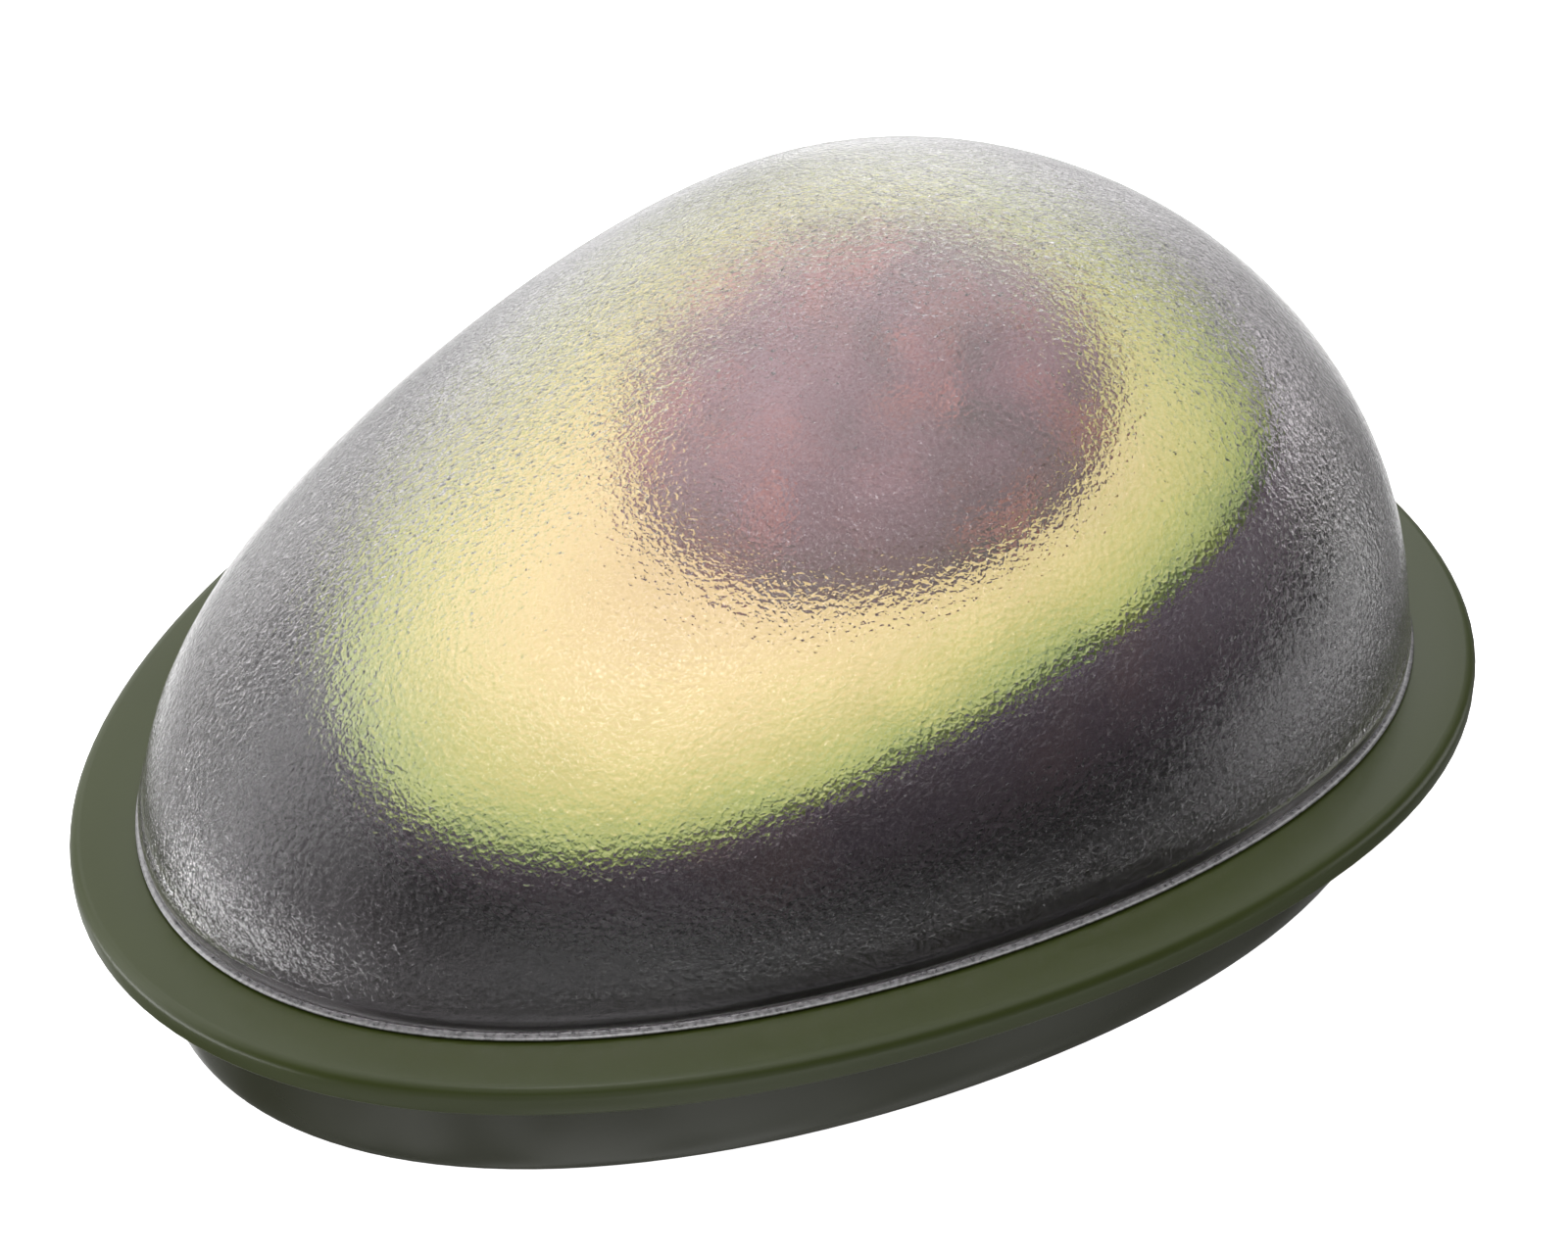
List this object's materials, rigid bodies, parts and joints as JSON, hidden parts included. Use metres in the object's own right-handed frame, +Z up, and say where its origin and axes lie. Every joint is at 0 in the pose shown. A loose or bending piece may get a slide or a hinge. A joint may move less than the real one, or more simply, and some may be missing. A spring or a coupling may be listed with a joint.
{
  "type": "avocado half in a lidded saver",
  "caption": "Halved avocado with its seed, resting in an egg-shaped tray with a flat rim, under a clear pebbled dome lid.",
  "frame": {"origin": "on the surface it stands on, under the middle of the tray", "axes": "+X along the length to the blunt end, +Z up out of the lid"},
  "size_m": [0.138, 0.1108, 0.054],
  "materials": {
    "tray_plastic": "satin",
    "clear_plastic": "pebbled",
    "skin": "matt",
    "flesh": "moist",
    "seed": "matt"
  },
  "bodies": {
    "root": {"tray": "tray_plastic", "dome_lid": "clear_plastic", "avocado_skin": "skin", "avocado_flesh": "flesh", "avocado_seed": "seed"}
  },
  "joints": []
}
